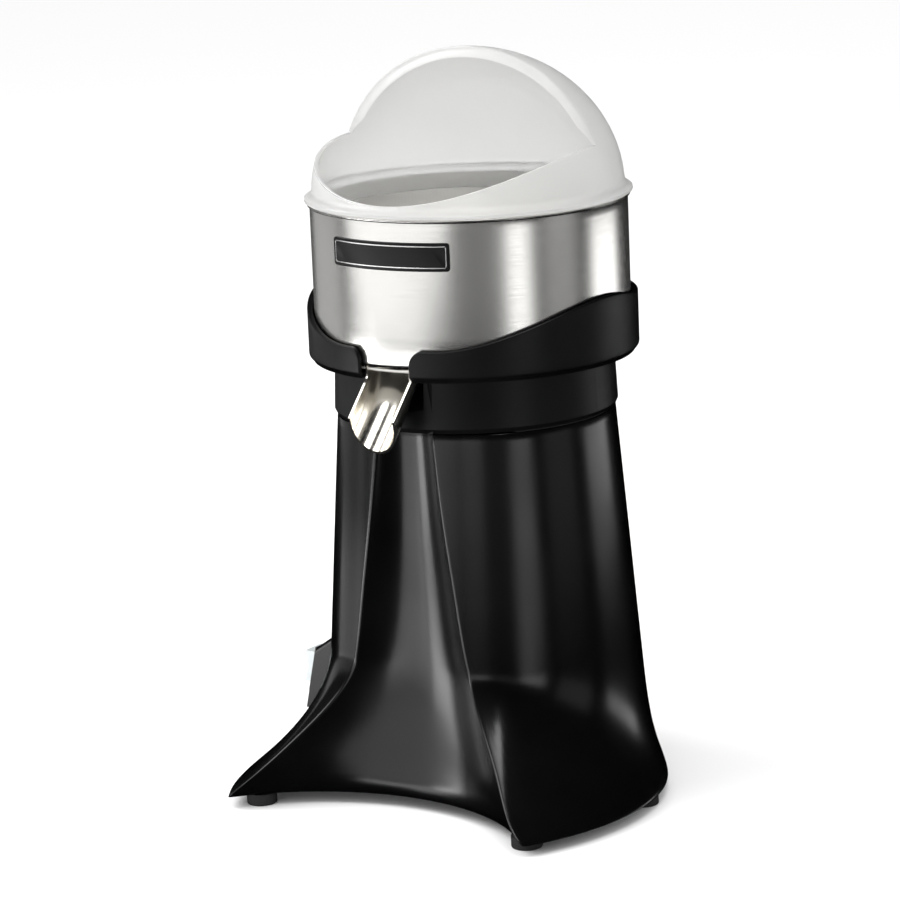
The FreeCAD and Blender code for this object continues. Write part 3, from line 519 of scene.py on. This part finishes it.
def collar_spacing():
    """Places along half of the collar, from the notch (0) to the back (1), closer together near the notch."""
    spacing = [0.0, 0.0006, 0.0016]
    spacing += [0.003 + 0.12 * (i / 30) ** 1.4 for i in range(31)]
    return spacing + [0.123 + 0.877 * i / 90 for i in range(1, 91)]


def build_collar():
    """Ring of wall sections, the first two drawn in a little to round the notch's edges."""
    inner = COLLAR_R - COLLAR_WALL
    notch_angle = math.degrees(math.asin(NOTCH_HALF / COLLAR_R))
    draw_in = (0.8, 0.25)
    rows = []
    for k, t in enumerate(collar_spacing()):
        shrink = draw_in[k] if k < len(draw_in) else 0.0

        def at(radius, z):
            start = math.degrees(math.asin(NOTCH_HALF / radius))
            return on_circle(radius, start + (180.0 - start) * t, z)

        edge = collar_height(notch_angle * (1 - t) + 180.0 * t)
        offset = at(COLLAR_R, 0.0)[0] - NOTCH_HALF
        if t < 0.3 and offset < SHOULDER:
            bulge = math.sqrt(max(SHOULDER ** 2 - (SHOULDER - offset) ** 2, 0.0))
            edge = min(edge, NOTCH_SHOULDER_Z + bulge)
        edge -= shrink
        out_r, in_r = COLLAR_R - shrink, inner + shrink
        floor_z, top = COLLAR_Z + shrink, COLLAR_Z + COLLAR_FLOOR - shrink
        row = [at(COLLAR_HOLE_R, floor_z), at(105.0, floor_z), at(109.5 - shrink, floor_z)]
        row += [at(r - shrink, z) for r, z in arc(109.7, 305.3, COLLAR_ROUND, -62.0, 0.0, 6)]
        row += [at(out_r, 309.0), at(out_r, edge - 5.0 + shrink)]
        outer_edge = arc(out_r - EDGE_ROUND_OUT, edge - EDGE_ROUND_OUT, EDGE_ROUND_OUT, 0.0, 90.0, 5)
        inner_edge = arc(in_r + EDGE_ROUND_IN, edge - EDGE_ROUND_IN, EDGE_ROUND_IN, 90.0, 180.0, 3)
        row += [at(r, z) for r, z in outer_edge + inner_edge]
        row += [at(in_r, top + 4.0), at(in_r, top), at(COLLAR_HOLE_R, top)]
        rows.append(row)
    width = len(rows[0])
    points = [p for row in rows for p in row]
    points += [(-x, y, z) for row in reversed(rows[:-1]) for x, y, z in row]
    count = len(points) // width
    faces = grid_faces(count, width, False, True)
    faces.append(tuple(range(width)))
    faces.append(tuple(range((count - 1) * width, count * width)))
    piece("bowl_cradle", points, faces, "charcoal_plastic", "base", ("bowl_collar",), 45.0)


build_collar()


# ---------------------------------------------------------------- bowl
SHEET = 1.5
BOWL_ROUND = 7.0
BEAD_R = 1.3
TUBE_R = (15.0, 17.0)
TUBE_TOP_Z = 340.0
DRAIN_ROUND = 4.0
DRAIN_HALF = 9.0
DRAIN_Y = (-90.0, -80.0)


def drain_cutter():
    """Slot with round corners that is cut out of the bowl's floor."""
    low_y, high_y = DRAIN_Y
    corners = ((DRAIN_HALF, high_y), (-DRAIN_HALF, high_y), (-DRAIN_HALF, low_y), (DRAIN_HALF, low_y))
    ring = []
    for k, (x, y) in enumerate(corners):
        ring += arc(x, y, DRAIN_ROUND, 90.0 * k, 90.0 * (k + 1), 6)
    points = [(x, y, z) for z in (BOWL_Z - 5.0, BOWL_Z + 5.0) for x, y in ring]
    faces = grid_faces(2, len(ring), False, True)
    faces += [tuple(range(len(ring))), tuple(range(len(ring), 2 * len(ring)))]
    mesh = bpy.data.meshes.new("drain_cutter")
    mesh.from_pydata([place(p) for p in points], [], faces)
    work = bmesh.new()
    work.from_mesh(mesh)
    bmesh.ops.recalc_face_normals(work, faces=work.faces)
    work.to_mesh(mesh)
    work.free()
    cutter = bpy.data.objects.new("drain_cutter", mesh)
    bpy.context.scene.collection.objects.link(cutter)
    return cutter


def build_bowl():
    inner, floor_z = BOWL_R - SHEET, BOWL_Z + SHEET
    tube_in, tube_out = TUBE_R
    profile = arc(BOWL_R - BOWL_ROUND, BOWL_Z + BOWL_ROUND, BOWL_ROUND, -90.0, 0.0, 8)
    profile += [(BOWL_R, z) for z in (330.0, 355.0, 380.0, 400.0, 403.6)]
    profile += arc(BOWL_R + 0.4, RIM_Z - 0.9, BEAD_R, -115.0, 148.0, 14)
    profile += [(inner, z) for z in (405.6, 380.0, 355.0, 330.0)]
    profile += arc(inner - BOWL_ROUND + SHEET, BOWL_Z + BOWL_ROUND, BOWL_ROUND - SHEET, 0.0, -90.0, 7)
    profile += [(r, floor_z) for r in (94.0, 76.0, 40.0, tube_out + 1.5)]
    profile += [(tube_out + 0.4, floor_z + 0.4), (tube_out, floor_z + 1.5), (tube_out, TUBE_TOP_Z - 0.8)]
    profile += [(tube_out - 0.4, TUBE_TOP_Z), (tube_in, TUBE_TOP_Z), (tube_in, BOWL_Z), (76.0, BOWL_Z)]
    bowl = turned("steel_bowl", profile, "brushed_steel", "bowl", ("juice_bowl",), 256, 35.0)
    cutter = drain_cutter()
    cut = bowl.modifiers.new("drain", "BOOLEAN")
    cut.object = cutter
    cut.operation = "DIFFERENCE"
    baked(bowl, 35.0)
    bpy.data.objects.remove(cutter)


build_bowl()


# ---------------------------------------------------------------- badge
def rounded_outline(half_w, half_h, radius, steps=6):
    out = []
    for sx, sz, start in ((1, 1, 0), (-1, 1, 90), (-1, -1, 180), (1, -1, 270)):
        for i in range(steps + 1):
            a = math.radians(start + 90.0 * i / steps)
            x = sx * (half_w - radius) + radius * math.cos(a)
            out.append((x, sz * (half_h - radius) + radius * math.sin(a)))
    return out


def resampled(outline, longest):
    """The outline with extra points, so that it bends round the bowl."""
    out = []
    for (x0, z0), (x1, z1) in zip(outline, outline[1:] + outline[:1]):
        parts = max(int(math.hypot(x1 - x0, z1 - z0) / longest), 1)
        out += [(x0 + (x1 - x0) * i / parts, z0 + (z1 - z0) * i / parts) for i in range(parts)]
    return out


BADGE_Z = 383.8
BADGE_HALF_W = BOWL_R * math.radians(24.4)
BADGE_HALF_H = 9.4
BADGE_TURN = 1.3


def on_bowl(x, z, stand):
    return on_circle(BOWL_R + stand, BADGE_TURN + math.degrees(x / BOWL_R), BADGE_Z + z)


def inset_rings(outline, half_w, half_h, rings):
    """Copies of the outline on the bowl, each drawn in by an inset and raised by a stand-off."""
    points = []
    for inset, stand in rings:
        for x, z in outline:
            points.append(on_bowl(x * (1 - inset / half_w), z * (1 - inset / half_h), stand))
    return points


def strips(ring):
    """Fills a ring that runs from the right, over the top, to the left and back underneath."""
    faces = []
    for i in range(len(ring) // 2 - 1):
        faces.append((ring[i], ring[i + 1], ring[-2 - i], ring[-1 - i]))
    return faces


def build_badge():
    rings = ((0.0, 0.05), (0.0, 0.7), (0.18, 1.05), (0.5, 1.2), (1.7, 1.2), (1.95, 0.95))
    outline = resampled(rounded_outline(BADGE_HALF_W, BADGE_HALF_H, 2.2), 2.0)
    points = inset_rings(outline, BADGE_HALF_W, BADGE_HALF_H, rings)
    n = len(outline)
    faces = grid_faces(len(rings), n, False, True)
    for k in (len(rings) - 1, 0):
        faces += strips([k * n + i for i in range(n)])
    piece("badge_panel", points, faces, "badge_black", "bowl", ("badge_plate",), 40.0)


def build_badge_line():
    """Thin raised line just inside the badge's edge."""
    half_w, half_h = BADGE_HALF_W - 2.0, BADGE_HALF_H - 2.0
    outline = resampled(rounded_outline(half_w, half_h, 1.3), 2.0)
    rings = ((0.0, 0.9), (0.0, 1.16), (0.12, 1.28), (0.58, 1.28), (0.7, 1.16), (0.7, 0.9))
    points = inset_rings(outline, half_w, half_h, rings)
    faces = grid_faces(len(rings), len(outline), True, True)
    piece("badge_line", points, faces, "badge_silver", "bowl", ("badge_frame",), 40.0)


build_badge()
build_badge_line()


# ---------------------------------------------------------------- dome
BAND = 7.6
BAND_DEPTH = 2.6
BAND_FADE = 0.16
FLARE_H = 6.0
FLARE_POWER = 2.2
FLANGE_R = 111.0
SKIRT_IN_R = 101.7
SKIRT_BLEND_H = 30.0
SKIRT_BLEND = 0.06
LIP_ROUND = 0.9
CORNER_AZ = 92.32
LIP_STEPS = 64
ARCH_STEPS = 96
DOME_ROWS = 40
SKIRT_PROFILE = (
    (101.7, 409.0), (101.7, 398.5), (102.2, 398.0), (103.8, 398.0), (104.3, 398.5),
    (104.3, 408.7), (110.2, 408.7), (110.7, 408.9), (111.0, 409.6), (111.0, 410.4),
)


def lip_arc():
    """Circle in the (y, z) plane through the lip's front, middle and side points."""
    rise = LIP_SIDE_Z - LIP_FRONT_Z
    ax, ay = -DOME_R, LIP_FRONT_Z
    bx, by = -DOME_R * 0.58, LIP_FRONT_Z + rise * 0.62
    cx, cy = ARCH_Y, LIP_SIDE_Z
    d = 2 * (ax * (by - cy) + bx * (cy - ay) + cx * (ay - by))
    a2, b2, c2 = ax * ax + ay * ay, bx * bx + by * by, cx * cx + cy * cy
    ux = (a2 * (by - cy) + b2 * (cy - ay) + c2 * (ay - by)) / d
    uy = (a2 * (cx - bx) + b2 * (ax - cx) + c2 * (bx - ax)) / d
    return ux, uy, math.hypot(ax - ux, ay - uy)


LIP_Y, LIP_Z, LIP_RADIUS = lip_arc()


def lip_height(y):
    side = 1 if LIP_FRONT_Z > LIP_Z else -1
    return LIP_Z + math.sqrt(max(LIP_RADIUS ** 2 - (y - LIP_Y) ** 2, 0.0)) * side


def on_dome(direction, inset=0.0):
    """Point of the dome's skin, inset towards its middle, for a unit direction."""
    x, y, z = direction
    r, rise = DOME_R - inset, DOME_RISE - inset
    h = rise * z
    flare = (FLANGE_R - DOME_R) * max(1 - h / FLARE_H, 0.0) ** FLARE_POWER
    wide = 1 + flare / r
    return Vector((r * x * wide, r * y * wide, DOME_Z + h))


def lip_direction(azimuth):
    """Unit direction of the lip's point at an azimuth from the front."""
    a = math.radians(azimuth)

    def raised(e):
        return Vector((math.sin(a) * math.cos(e), -math.cos(a) * math.cos(e), math.sin(e)))

    low, high = 0.0, math.radians(60.0)
    for _ in range(40):
        e = (low + high) / 2
        p = raised(e)
        if DOME_Z + DOME_RISE * p.z < lip_height(DOME_R * p.y):
            low = e
        else:
            high = e
    return raised(low)


def slerp(a, b, t):
    angle = a.angle(b)
    if angle < 1e-6:
        return a.copy()
    return (a * math.sin((1 - t) * angle) + b * math.sin(t * angle)) / math.sin(angle)


def dome_columns():
    """Great-circle columns from the front to the back: foot, edge of the mouth, share of the full band."""
    columns = []
    for i in range(LIP_STEPS):
        azimuth = CORNER_AZ * i / LIP_STEPS
        columns.append((Vector(on_circle(1.0, azimuth)), lip_direction(azimuth), 0.0))
    corner = lip_direction(CORNER_AZ)
    y = ARCH_Y / DOME_R
    ring = math.sqrt(1 - y * y)
    start = math.atan2(corner.z, corner.x)
    for i in range(ARCH_STEPS + 1):
        t = i / ARCH_STEPS
        lift = start + (math.pi / 2 - start) * t
        top = Vector((ring * math.cos(lift), y, ring * math.sin(lift)))
        foot = Vector(on_circle(1.0, CORNER_AZ + (180.0 - CORNER_AZ) * t))
        columns.append((foot, top, smooth_step(t / BAND_FADE)))
    return columns


def mouth_edge(edge, foot, top, band):
    """Rounded edge of the mouth, with the band behind it where there is one."""
    back = (foot - top * foot.dot(top)).normalized()
    down = Vector((back.x * DOME_R, back.y * DOME_R, back.z * DOME_RISE)).normalized()
    inward = -top.normalized()
    inside = DOME_WALL + (BAND - DOME_WALL) * band
    thick = BAND_DEPTH * band
    flat = edge + inward * (inside - LIP_ROUND)
    return [
        edge + down * LIP_ROUND,
        edge + down * LIP_ROUND * 0.3 + inward * LIP_ROUND * 0.3,
        edge + inward * LIP_ROUND,
        edge + inward * (inside * 0.5),
        flat,
        flat + inward * 0.6 + down * 0.3,
        flat + inward * LIP_ROUND + down * LIP_ROUND,
        edge + inward * inside + down * max(thick, LIP_ROUND),
        edge + inward * (DOME_WALL + (inside - DOME_WALL) * 0.05) + down * (1.0 + thick),
    ]


def inner_skin(direction):
    """Point of the inner skin, drawn in low down so that it meets the skirt."""
    p = on_dome(direction, DOME_WALL)
    rise = DOME_RISE * direction.z
    target = DOME_R
    if rise < SKIRT_BLEND_H:
        target = min(DOME_R - DOME_WALL, SKIRT_IN_R + SKIRT_BLEND * rise)
    radius = math.hypot(p.x, p.y)
    keep = min(radius, target * max(math.hypot(direction.x, direction.y), 1e-6)) / max(radius, 1e-6)
    return Vector((p.x * keep, p.y * keep, p.z))


def build_dome():
    rows = []
    for foot, top, band in dome_columns():
        row = [on_dome(slerp(foot, top, (i / DOME_ROWS) ** 1.3)) for i in range(DOME_ROWS)]
        row += mouth_edge(on_dome(top), foot, top, band)
        reach = foot.angle(top) * DOME_R
        begin = min((1.4 + BAND_DEPTH * band) / max(reach, 1.0), 0.5)
        for i in range(DOME_ROWS + 1):
            row.append(inner_skin(slerp(top, foot, begin + (1 - begin) * i / DOME_ROWS)))
        row += [Vector((foot.x * radius, foot.y * radius, z)) for radius, z in SKIRT_PROFILE]
        rows.append(row)
    width = len(rows[0])
    points = [tuple(p) for row in rows for p in row]
    points += [(-p.x, p.y, p.z) for row in reversed(rows[1:-1]) for p in row]
    faces = grid_faces(len(points) // width, width, True, True)
    piece("hood", points, faces, "frosted_plastic", "dome", ("splash_dome",), 50.0)


build_dome()


# ---------------------------------------------------------------- reamer
REAMER_Z = (347.0, 400.0)
REAMER_R = 37.0
REAMER_CORE_R = 30.0
REAMER_RIM = 4.0
RIB_COUNT = 10
RIB_HEIGHT = 5.2
REAMER_STEPS = 240
REAMER_ROWS = 40


def reamer_cone():
    """Rows of the ribbed cone from its rim to its tip."""
    base, top = REAMER_Z
    rows = []
    for j in range(REAMER_ROWS + 1):
        z = base + REAMER_RIM + (top - base - REAMER_RIM) * j / REAMER_ROWS
        core = REAMER_CORE_R * math.sqrt(max(1 - ((z - base) / (top - base)) ** 1.7, 0.0))
        row = []
        for i in range(REAMER_STEPS):
            a = 360.0 * i / REAMER_STEPS
            rib = max(math.cos(math.radians(a * RIB_COUNT)), 0.0) ** 3
            r = core + rib * RIB_HEIGHT * min(core / 8.0, 1.0)
            row.append(on_circle(max(min(r, REAMER_R - 1.0), 0.05), a, z))
        rows.append(row)
    return rows


def build_reamer():
    """Closed cone: hub, underside and rim as plain rings, then the ribs."""
    base = REAMER_Z[0]
    hub = [(8.4, 362.0), (8.4, base + 0.6), (9.2, base), (12.0, base), (12.6, base + 0.6), (12.6, 360.0)]
    under = [(20.0, 358.0), (21.0, 356.0), (27.0, 348.6), (28.6, base + 0.2)]
    rim = [(REAMER_R - 0.6, base), (REAMER_R, base + 0.6), (REAMER_R, 350.2), (REAMER_R - 0.6, 351.0)]
    rows = []
    for r, z in hub + under + rim:
        rows.append([on_circle(r, 360.0 * i / REAMER_STEPS, z) for i in range(REAMER_STEPS)])
    rows += reamer_cone()
    points = [p for row in rows for p in row]
    faces = grid_faces(len(rows), REAMER_STEPS, False, True)
    last = (len(rows) - 1) * REAMER_STEPS
    faces += [tuple(range(last, last + REAMER_STEPS)), tuple(range(REAMER_STEPS))]
    piece("reamer_cone_body", points, faces, "white_nylon", "reamer_cone", ("reamer",), 50.0)


build_reamer()


# ---------------------------------------------------------------- floor, light and camera
FLOOR_HALF = 14.0
PANEL_DISTANCE = 1.7


def build_floor():
    """White floor that is left out of reflections, so that the low panels shape them."""
    h = FLOOR_HALF
    mesh = bpy.data.meshes.new("floor")
    mesh.from_pydata([(-h, -h, 0), (h, -h, 0), (h, h, 0), (-h, h, 0)], [], [(0, 1, 2, 3)])
    obj = bpy.data.objects.new("floor", mesh)
    bpy.context.scene.collection.objects.link(obj)
    material, _, shader = nodes_of("floor_white")
    shader.inputs["Base Color"].default_value = (0.97, 0.97, 0.97, 1.0)
    shader.inputs["Roughness"].default_value = 0.9
    shader.inputs["Specular IOR Level"].default_value = 0.0
    mesh.materials.append(material)
    obj.visible_glossy = False
    obj.visible_shadow = False


def soft_light(name, shape, size, area, radiance):
    light = bpy.data.lights.new(name, "AREA")
    light.shape = shape
    light.size = size
    light.energy = radiance * math.pi * area
    obj = bpy.data.objects.new(name, light)
    bpy.context.scene.collection.objects.link(obj)
    obj.visible_camera = False
    return obj


def panel(name, azimuth, width, low, high, radiance):
    """Upright light between two heights in metres, facing the drive axis from an azimuth."""
    obj = soft_light(name, "RECTANGLE", width, width * (high - low), radiance)
    obj.data.size_y = high - low
    a = math.radians(azimuth)
    x, y = PANEL_DISTANCE * math.sin(a), -PANEL_DISTANCE * math.cos(a) + AXIS_Y
    obj.location = (x, y, (low + high) / 2)
    obj.rotation_euler = (math.pi / 2, 0.0, a)


def overhead(name, x, y, z, radius, radiance, aim_z):
    """Round light overhead, turned towards a height on the drive axis."""
    obj = soft_light(name, "DISK", 2 * radius, math.pi * radius ** 2, radiance)
    obj.location = (x, AXIS_Y + y, z)
    look = Vector((0.0, AXIS_Y, aim_z)) - obj.location
    obj.rotation_euler = look.to_track_quat("-Z", "Y").to_euler()


def build_world():
    """White surroundings that light the part but aren't seen in reflections."""
    world = bpy.data.worlds.new("studio")
    bpy.context.scene.world = world
    world.use_nodes = True
    background = world.node_tree.nodes["Background"]
    background.inputs["Color"].default_value = (1.0, 1.0, 1.0, 1.0)
    background.inputs["Strength"].default_value = 0.98
    world.cycles_visibility.glossy = False


build_floor()
panel("key_panel", -23.0, 2.9, 0.0, 0.4, 1.45)
panel("channel_panel", -52.0, 0.6, -0.26, -0.05, 9.0)
panel("channel_side_panel", -82.0, 0.7, -0.26, -0.10, 1.4)
panel("channel_fill", -20.0, 1.2, -0.34, -0.10, 3.6)
panel("low_channel_panel", -42.0, 0.6, -0.50, -0.30, 2.4)
panel("front_fill", 36.0, 1.2, 0.0, 0.4, 0.22)
panel("right_strip", 66.0, 0.5, -0.06, 0.25, 2.0)
panel("column_strip", 61.5, 0.34, -0.27, -0.14, 1.7)
panel("side_strip", 143.0, 0.95, -0.06, 0.14, 2.2)
panel("side_fill", 99.0, 0.8, -0.04, 0.4, 0.42)
panel("left_fill", -95.0, 1.3, -0.04, 0.4, 0.5)
build_world()
overhead("top_panel", 0.62, -0.6, 2.2, 0.45, 6.0, 0.1)
overhead("high_key_panel", -1.3, -0.8, 1.9, 1.0, 4.0, 0.35)

CAMERA_AZIMUTH = 33.0
CAMERA_ELEVATION = 12.1
CAMERA_YAW = -0.43
CAMERA_PITCH = -0.475
CAMERA_ROLL = -2.26
CAMERA_DISTANCE = 2.589
CAMERA_TARGET_Z = 0.254
SENSOR = 36.0
LENS = 151.388


def swung(first, second, degrees):
    """Two square directions, swung in their plane with the first going towards the second."""
    a = math.radians(degrees)
    return first * math.cos(a) + second * math.sin(a), second * math.cos(a) - first * math.sin(a)


def build_camera():
    """Camera aimed near the middle of the column, then turned by small angles."""
    azimuth, elevation = math.radians(CAMERA_AZIMUTH), math.radians(CAMERA_ELEVATION)
    level = math.cos(elevation)
    forward = Vector((-math.sin(azimuth) * level, math.cos(azimuth) * level, -math.sin(elevation)))
    spot = Vector((0.0, AXIS_Y, CAMERA_TARGET_Z)) - forward * CAMERA_DISTANCE
    right = Vector((math.cos(azimuth), math.sin(azimuth), 0.0))
    up = right.cross(forward)
    forward, right = swung(forward, right, CAMERA_YAW)
    forward, up = swung(forward, up, CAMERA_PITCH)
    right, up = swung(right, up, CAMERA_ROLL)
    data = bpy.data.cameras.new("camera")
    data.sensor_width = SENSOR
    data.lens = LENS
    obj = bpy.data.objects.new("camera", data)
    bpy.context.scene.collection.objects.link(obj)
    obj.matrix_world = Matrix((
        (right.x, up.x, -forward.x, spot.x),
        (right.y, up.y, -forward.y, spot.y),
        (right.z, up.z, -forward.z, spot.z),
        (0.0, 0.0, 0.0, 1.0),
    ))
    bpy.context.scene.camera = obj


build_camera()
bpy.context.scene.view_settings.view_transform = "Standard"
